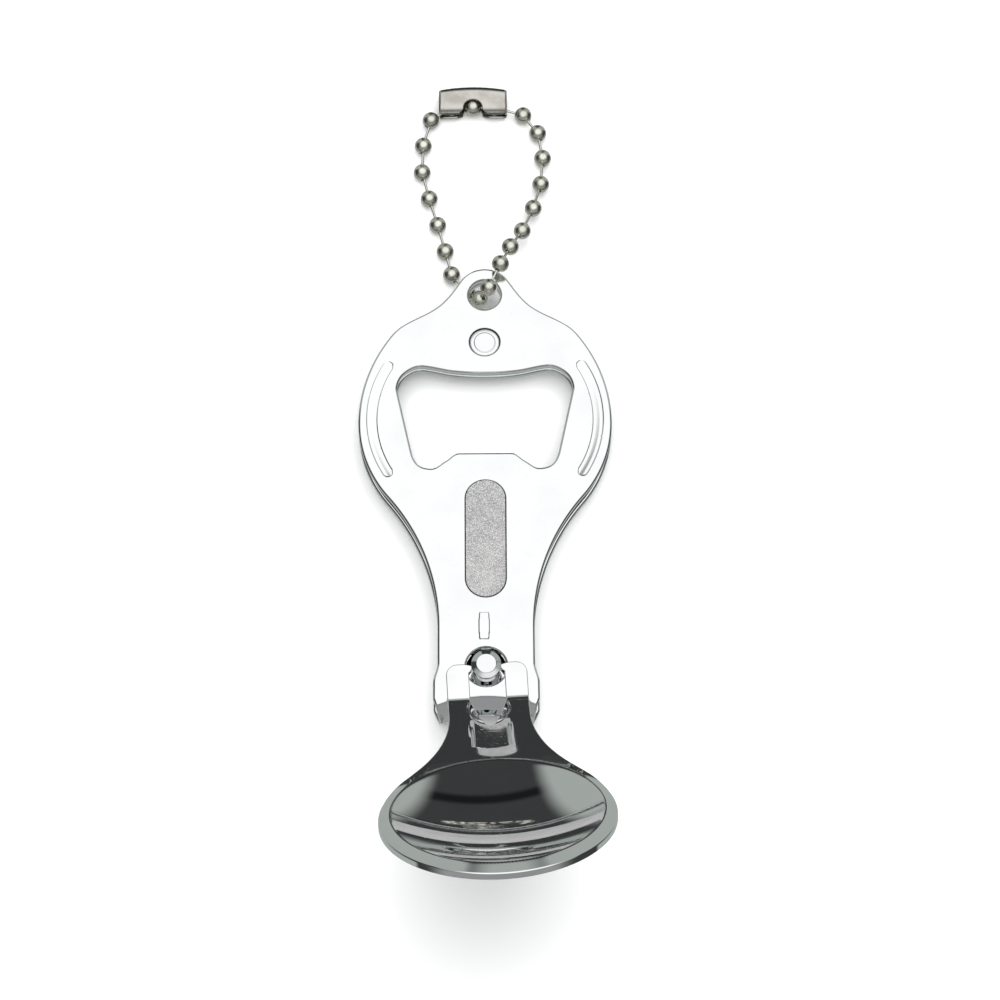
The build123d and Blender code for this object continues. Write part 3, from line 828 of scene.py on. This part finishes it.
bead_middles = [centre_of(f"chain_bead_{i + 1:02d}") for i in range(bead_count)]
bead_ways = []
for i in range(bead_count):
    before = bead_middles[max(0, i - 1)]
    after = bead_middles[min(bead_count - 1, i + 1)]
    bead_ways.append((after - before).normalized())
pin_middles = [(a + b) / 2 for a, b in zip(bead_middles, bead_middles[1:])]
pin_ways = [(b - a).normalized() for a, b in zip(bead_middles, bead_middles[1:])]

hole_turn = asin(PIN_HOLE_R / BEAD_R)
inner_r = BEAD_R - BEAD_WALL
shell = [(BEAD_R * sin(a), BEAD_R * cos(a)) for a in np.linspace(pi - hole_turn, hole_turn, 25)]
hole_in = asin(PIN_HOLE_R / inner_r)
shell += [(PIN_HOLE_R - 0.02, BEAD_R * cos(hole_turn) - 0.05)]
shell += [(inner_r * sin(a), inner_r * cos(a)) for a in np.linspace(hole_in, pi - hole_in, 13)]
shell += [(PIN_HOLE_R - 0.02, -BEAD_R * cos(hole_turn) + 0.05)]


def hollow(name, profile, around=36):
    """A ring-shaped shell turned from a closed profile."""
    verts, faces = [], []
    n = len(profile)
    for k in range(around):
        a = 2 * pi * k / around
        verts += [(r * cos(a) * mm, r * sin(a) * mm, z * mm) for r, z in profile]
    for k in range(around):
        j = (k + 1) % around
        for i in range(n):
            m = (i + 1) % n
            faces.append((k * n + i, j * n + i, j * n + m, k * n + m))
    mesh = bpy.data.meshes.new(name)
    mesh.from_pydata(verts, [], faces)
    mesh.polygons.foreach_set("use_smooth", [True] * len(faces))
    return bpy.data.objects.new(name, mesh)


def strung(name, middles, ways, form, material):
    """Copies of one form, threaded on the chain's line by a Geometry Nodes tree."""
    tree = bpy.data.node_groups.new(name + "_stringing", "GeometryNodeTree")
    tree.interface.new_socket("Geometry", in_out="INPUT", socket_type="NodeSocketGeometry")
    form_in = tree.interface.new_socket("Form", in_out="INPUT", socket_type="NodeSocketObject")
    size_in = tree.interface.new_socket("Size", in_out="INPUT", socket_type="NodeSocketFloat")
    seed_in = tree.interface.new_socket("Seed", in_out="INPUT", socket_type="NodeSocketInt")
    finish_in = tree.interface.new_socket("Finish", in_out="INPUT", socket_type="NodeSocketMaterial")
    tree.interface.new_socket("Geometry", in_out="OUTPUT", socket_type="NodeSocketGeometry")
    new, tie = tree.nodes.new, tree.links.new
    given, result = new("NodeGroupInput"), new("NodeGroupOutput")
    shape = new("GeometryNodeObjectInfo")
    tie(given.outputs["Form"], shape.inputs["Object"])
    way = new("GeometryNodeInputNamedAttribute")
    way.data_type = "FLOAT_VECTOR"
    way.inputs["Name"].default_value = "way"
    spin = new("FunctionNodeRandomValue")
    spin.data_type = "FLOAT"
    spin.inputs[3].default_value = 2 * pi
    tie(given.outputs["Seed"], spin.inputs["Seed"])
    about = new("FunctionNodeAxisAngleToRotation")
    about.inputs["Axis"].default_value = (0, 0, 1)
    tie(spin.outputs[1], about.inputs["Angle"])
    aim = new("FunctionNodeAlignRotationToVector")
    aim.axis = "Z"
    tie(way.outputs["Attribute"], aim.inputs["Vector"])
    turn = new("FunctionNodeRotateRotation")
    turn.rotation_space = "LOCAL"
    tie(aim.outputs[0], turn.inputs[0])
    tie(about.outputs[0], turn.inputs[1])
    copies = new("GeometryNodeInstanceOnPoints")
    tie(given.outputs["Geometry"], copies.inputs["Points"])
    tie(shape.outputs["Geometry"], copies.inputs["Instance"])
    tie(turn.outputs[0], copies.inputs["Rotation"])
    tie(given.outputs["Size"], copies.inputs["Scale"])
    real = new("GeometryNodeRealizeInstances")
    tie(copies.outputs["Instances"], real.inputs["Geometry"])
    coat = new("GeometryNodeSetMaterial")
    tie(real.outputs["Geometry"], coat.inputs["Geometry"])
    tie(given.outputs["Finish"], coat.inputs["Material"])
    tie(coat.outputs["Geometry"], result.inputs[0])

    line_mesh = bpy.data.meshes.new(name + "_line")
    line_mesh.from_pydata([tuple(p) for p in middles], [], [])
    attribute = line_mesh.attributes.new("way", "FLOAT_VECTOR", "POINT")
    attribute.data.foreach_set("vector", [c for w in ways for c in w])
    piece = bpy.data.objects.new(name, line_mesh)
    bpy.context.scene.collection.objects.link(piece)
    stringing = piece.modifiers.new("stringing", "NODES")
    stringing.node_group = tree
    stringing[form_in.identifier] = form
    stringing[size_in.identifier] = 1.0
    stringing[seed_in.identifier] = 3
    stringing[finish_in.identifier] = material
    bpy.context.view_layer.update()
    plain = bpy.data.meshes.new_from_object(piece.evaluated_get(bpy.context.evaluated_depsgraph_get()))
    piece.modifiers.clear()
    piece.data = plain
    plain.name = name
    return piece


def nickel(name, bright, dull, rough):
    """Warm nickel over brass: hazy with handling, a little brassy where it has rubbed."""
    material = bpy.data.materials.new(name)
    material.use_nodes = True
    n = Nodes(material.node_tree)
    haze = n.noise((1, 1, 1), 420, 4.0).above(0.38, 0.68)
    rubbed = n.noise((1, 1, 1), 900, 2.0).above(0.55, 0.7)
    pits = n.noise((1, 1, 1), 3500, 2.0).above(0.66, 0.75)
    colour = n.mix((*bright, 1), (*dull, 1), haze * 0.8 + pits * 0.3)
    colour = n.mix(colour, (0.62, 0.58, 0.47, 1), rubbed * 0.35)
    bump = n.add("ShaderNodeBump", {}, {
        "Strength": 0.12, "Distance": 0.00003, "Height": haze * 0.5 - pits})
    shader = n.add("ShaderNodeBsdfPrincipled", {}, {
        "Base Color": colour, "Metallic": 1.0, "Roughness": haze * 0.08 + pits * 0.1 + rough, "Normal": bump})
    n.add("ShaderNodeOutputMaterial", {}, {"Surface": shader})
    return material


bead_nickel = nickel("bead_nickel", (0.84, 0.83, 0.75), (0.62, 0.61, 0.53), 0.23)
bead_form = hollow("bead_form", shell)
beads = strung("chain_beads", bead_middles, bead_ways, bead_form, bead_nickel)
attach(beads, "ball_chain")
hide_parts(*[f"chain_bead_{i + 1:02d}" for i in range(bead_count)])
bpy.data.objects.remove(bead_form)

half = PIN_LONG / 2
pin_profile = [(0, -half - PIN_HEAD_R)]
pin_profile += [(PIN_HEAD_R * sin(a), -half - PIN_HEAD_R * cos(a)) for a in np.linspace(0.35, 2.4, 7)]
pin_profile += [(PIN_R, -half + 0.32), (PIN_R, 0), (PIN_R, half - 0.32)]
pin_profile += [(PIN_HEAD_R * sin(a), half + PIN_HEAD_R * cos(a)) for a in np.linspace(2.4, 0.35, 7)]
pin_profile += [(0, half + PIN_HEAD_R)]
pin_form = turned("pin_form", pin_profile, around=20)
wire_nickel = nickel("wire_nickel", (0.84, 0.83, 0.78), (0.70, 0.69, 0.63), 0.2)
pins = strung("chain_pins", pin_middles, pin_ways, pin_form, wire_nickel)
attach(pins, "ball_chain")
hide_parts(*[f"chain_link_{i + 1:02d}" for i in range(bead_count - 1)])
bpy.data.objects.remove(pin_form)

# ---------------------------------------------------------------------------------------------
# Clasp: a blank of thin plated brass folded over, its front lobes curled in round the beads that
# snap into it, with a notch that shows the middle bead, and end walls slotted for the pins.

clasp_low, clasp_high = [[c / mm for c in corner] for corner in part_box("chain_clasp")]
CLASP_X = (clasp_low[0] + clasp_high[0]) / 2
CLASP_HALF = (clasp_high[0] - clasp_low[0]) / 2
CLASP_BACK, CLASP_FRONT = clasp_high[1], clasp_low[1]
CLASP_HIGH = clasp_high[2] - clasp_low[2]
CLASP_WALL, CLASP_BEND, CLASP_ARCH, CLASP_END_R = 0.28, 1.0, 0.5, 0.42
CURL_START, NOTCH_Y = 86.9, 86.2
NOTCH_R, LOBE_R = 1.35, 1.1
FLANGE = CLASP_BACK - CLASP_FRONT - CLASP_BEND
FOLD = CLASP_BEND * pi / 2
BACK_FLAT = CLASP_HIGH - 2 * CLASP_BEND
half_blank = FLANGE + FOLD + BACK_FLAT / 2


def clasp_outline():
    """The flat blank, symmetric about the middle of its back."""
    notch_y = half_blank - (NOTCH_Y - CLASP_FRONT)
    lobe_in = NOTCH_R + 0.35
    quarter = joined(
        line((CLASP_HALF, 0), (CLASP_HALF, half_blank - LOBE_R)),
        arc(CLASP_HALF - LOBE_R, half_blank - LOBE_R, LOBE_R, 0, 90, 0.2),
        line((CLASP_HALF - LOBE_R, half_blank), (lobe_in + 0.9, half_blank)),
        fair([(lobe_in + 0.9, half_blank), (NOTCH_R + 0.1, half_blank - 0.85), (NOTCH_R, notch_y)],
             (-1, 0), (0, -1), 0.2),
        arc(0, notch_y, NOTCH_R, 0, -90, 0.2),
    )
    right = joined([(x, -y) for x, y in reversed(quarter)], quarter)
    return both_sides(right)


def clasp_form(x, y, t):
    """Folds the blank over its back and curls its lobes in; t runs from inner face to outer."""
    side = 1 if y > 0 else -1
    w = abs(y)
    off = t - CLASP_WALL
    if w < BACK_FLAT / 2:
        depth, rise = off, w
    elif w < BACK_FLAT / 2 + FOLD:
        a = (w - BACK_FLAT / 2) / CLASP_BEND
        r = CLASP_BEND + off
        depth, rise = -CLASP_BEND + r * cos(a), BACK_FLAT / 2 + r * sin(a)
    else:
        run = w - BACK_FLAT / 2 - FOLD
        straight = CLASP_BACK - CLASP_BEND - CURL_START
        curl = max(0.0, run - straight) / (CLASP_HIGH / 2)
        r = CLASP_HIGH / 2 + off
        depth, rise = -CLASP_BEND - min(run, straight) - r * sin(curl), r * cos(curl)
    share = 1 + depth / (CLASP_BACK - CLASP_FRONT)
    edge = max(0.0, abs(x) - CLASP_HALF + CLASP_END_R) / CLASP_END_R
    rise -= CLASP_END_R * (1 - sqrt(1 - min(1.0, 0.93 * edge) ** 2)) * min(1.0, rise)
    arch = CLASP_ARCH * (x / CLASP_HALF) ** 2 * max(0.0, share)
    return CLASP_X + x, CLASP_BACK + depth - arch, clasp_low[2] + CLASP_HIGH / 2 + side * rise


clasp_rows = list(np.arange(-4.2, 4.21, 0.35))
clasp_rows += [k * (CLASP_HALF - d) for k in (-1, 1) for d in (0.42, 0.32, 0.23)]
clasp_points = [(x, y) for x in clasp_rows for y in np.arange(-half_blank + 0.2, half_blank, 0.12)]
clasp_nickel = nickel("clasp_nickel", (0.60, 0.58, 0.55), (0.47, 0.44, 0.40), 0.2)
clasp = pressed_sheet("chain_clasp_shell", [clasp_outline()], clasp_points, CLASP_WALL, clasp_form, edge=0.1)
fitted(clasp, clasp_nickel, "ball_chain", "clasp_nickel", "chain_clasp")
END_HIGH, END_SLOT_HALF, PIN_SLOT_Y = CLASP_HIGH - 0.95, 0.45, 87.2
for side, name in ((-1, "clasp_end_left"), (1, "clasp_end_right")):
    def end_form(x, y, t):
        across = CLASP_X + side * (CLASP_HALF - CLASP_WALL - 0.02 + t)
        return across, x, clasp_low[2] + CLASP_HIGH / 2 + side * y

    top = END_HIGH / 2
    back = CLASP_BACK - CLASP_ARCH - 0.55
    brow, lip = CLASP_FRONT + 1.3, CLASP_FRONT + 0.9
    corners = [
        (brow, top), (back, top), (back, -top), (brow, -top), (lip, -END_SLOT_HALF),
        (PIN_SLOT_Y, -END_SLOT_HALF), (PIN_SLOT_Y, END_SLOT_HALF), (lip, END_SLOT_HALF), (brow, top),
    ]
    outline = joined(*[line(a, b, 0.3) for a, b in zip(corners, corners[1:])])
    end = pressed_sheet(name, [outline], [], CLASP_WALL, end_form, edge=0.06)
    fitted(end, clasp_nickel, "ball_chain", "clasp_nickel")

# ---------------------------------------------------------------------------------------------
# Studio: a pale floor under the clipper, a bright ceiling over its tail, a dark room behind it
# with grey low down and at its sides, and a grey wall before it, all for the plating to show.

floor_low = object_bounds()[0][2]


def paint(name, colour):
    material = bpy.data.materials.new(name)
    material.use_nodes = True
    n = Nodes(material.node_tree)
    cloud = n.noise((1, 1, 1), 12, 3.0)
    tone = n.mix((*colour, 1), tuple(c * 0.985 for c in colour) + (1,), cloud)
    shader = n.add("ShaderNodeBsdfPrincipled", {}, {"Base Color": tone, "Roughness": 0.9})
    n.add("ShaderNodeOutputMaterial", {}, {"Surface": shader})
    return material


floor_mesh = bpy.data.meshes.new("floor")
REACH = 4.0
floor_corners = [(x * REACH, y * REACH, floor_low) for x, y in ((-1, -1), (1, -1), (1, 1), (-1, 1))]
floor_mesh.from_pydata(floor_corners, [], [(0, 1, 2, 3)])
floor = bpy.data.objects.new("floor", floor_mesh)
floor_mesh.materials.append(paint("floor_paint", (0.93, 0.93, 0.93)))
bpy.context.scene.collection.objects.link(floor)
floor.visible_glossy = False

world = bpy.data.worlds.new("studio")
world.use_nodes = True
bpy.context.scene.world = world
n = Nodes(world.node_tree)
way = n.add("ShaderNodeTexCoord", out="Generated")
split = n.add("ShaderNodeSeparateXYZ", {}, {0: way})
along = Sum(n, split.socket.node.outputs[1])
height = Sum(n, split.socket.node.outputs[2])
across = split
tilted = height + across * 0.12
DARK, BLACK = (0.045, 0.047, 0.048), (0.012, 0.012, 0.013)
GREY, WHITE = (0.40, 0.43, 0.41), (1.16, 1.16, 1.16)
ramp = n.add("ShaderNodeValToRGB", {"stops": [
    (0.0, GREY), (0.275, GREY), (0.30, DARK), (0.5, DARK), (0.52, BLACK), (0.545, BLACK), (0.565, DARK),
    (0.76, DARK), (0.80, GREY), (0.86, GREY), (0.92, WHITE)]}, {"Fac": tilted * 0.5 + 0.5})
front = (0.0 - along).above(0.25, 0.75) * height.above(-0.25, 0.05)
wall = n.add("ShaderNodeValToRGB", {"stops": [
    (0.0, (0.16, 0.16, 0.165)), (0.5, (0.34, 0.34, 0.345)), (0.8, (0.26, 0.26, 0.26)), (0.93, WHITE)]},
    {"Fac": height * 0.5 + 0.5})
flanks = n.add("ShaderNodeMath", {"operation": "ABSOLUTE"}, {0: across}).above(0.2, 0.28)
flanks = flanks * along.above(0.42, 0.55) * (0.75 - height).above(0.0, 0.1)
colour = n.mix(n.mix(ramp, (*GREY, 1), flanks), wall, front)
sky = n.add("ShaderNodeBackground", {}, {"Color": colour, "Strength": 1.0})
n.add("ShaderNodeOutputWorld", {}, {"Surface": sky})


def lamp(name, place, size, power):
    """A soft panel that lights the floor and the file, and stays out of the plating."""
    light = bpy.data.lights.new(name, "AREA")
    light.shape = "DISK"
    light.size = size
    light.energy = power
    panel = bpy.data.objects.new(name, light)
    panel.location = place
    panel.rotation_euler = (Vector((0, 0.03, 0)) - Vector(place)).to_track_quat("-Z", "Y").to_euler()
    bpy.context.scene.collection.objects.link(panel)
    panel.visible_glossy = False
    return panel


lamp("overhead_panel", (0.1, 0.15, 1.2), 1.6, 16)
lamp("front_panel", (-0.3, -0.9, 0.9), 0.9, 4)

# Camera: over the clipper from its jaw end, a long lens at 600 mm.

TARGET = Vector((1.991, 25.055, 5.0)) * mm
ELEVATION, ROLL, AWAY, LENS = radians(68), radians(-0.374), 0.6, 157.96
back = Vector((0, -cos(ELEVATION), sin(ELEVATION)))
right = Vector((1, 0, 0))
up = back.cross(right)
right, up = right * cos(ROLL) + up * sin(ROLL), up * cos(ROLL) - right * sin(ROLL)
camera = bpy.data.objects.new("camera", bpy.data.cameras.new("camera"))
camera.data.lens = LENS
camera.data.sensor_width = 36
camera.data.clip_start = 0.01
camera.matrix_world = Matrix((
    (right.x, up.x, back.x, TARGET.x + AWAY * back.x),
    (right.y, up.y, back.y, TARGET.y + AWAY * back.y),
    (right.z, up.z, back.z, TARGET.z + AWAY * back.z),
    (0, 0, 0, 1),
))
bpy.context.scene.collection.objects.link(camera)
bpy.context.scene.camera = camera
bpy.context.scene.view_settings.view_transform = "Standard"
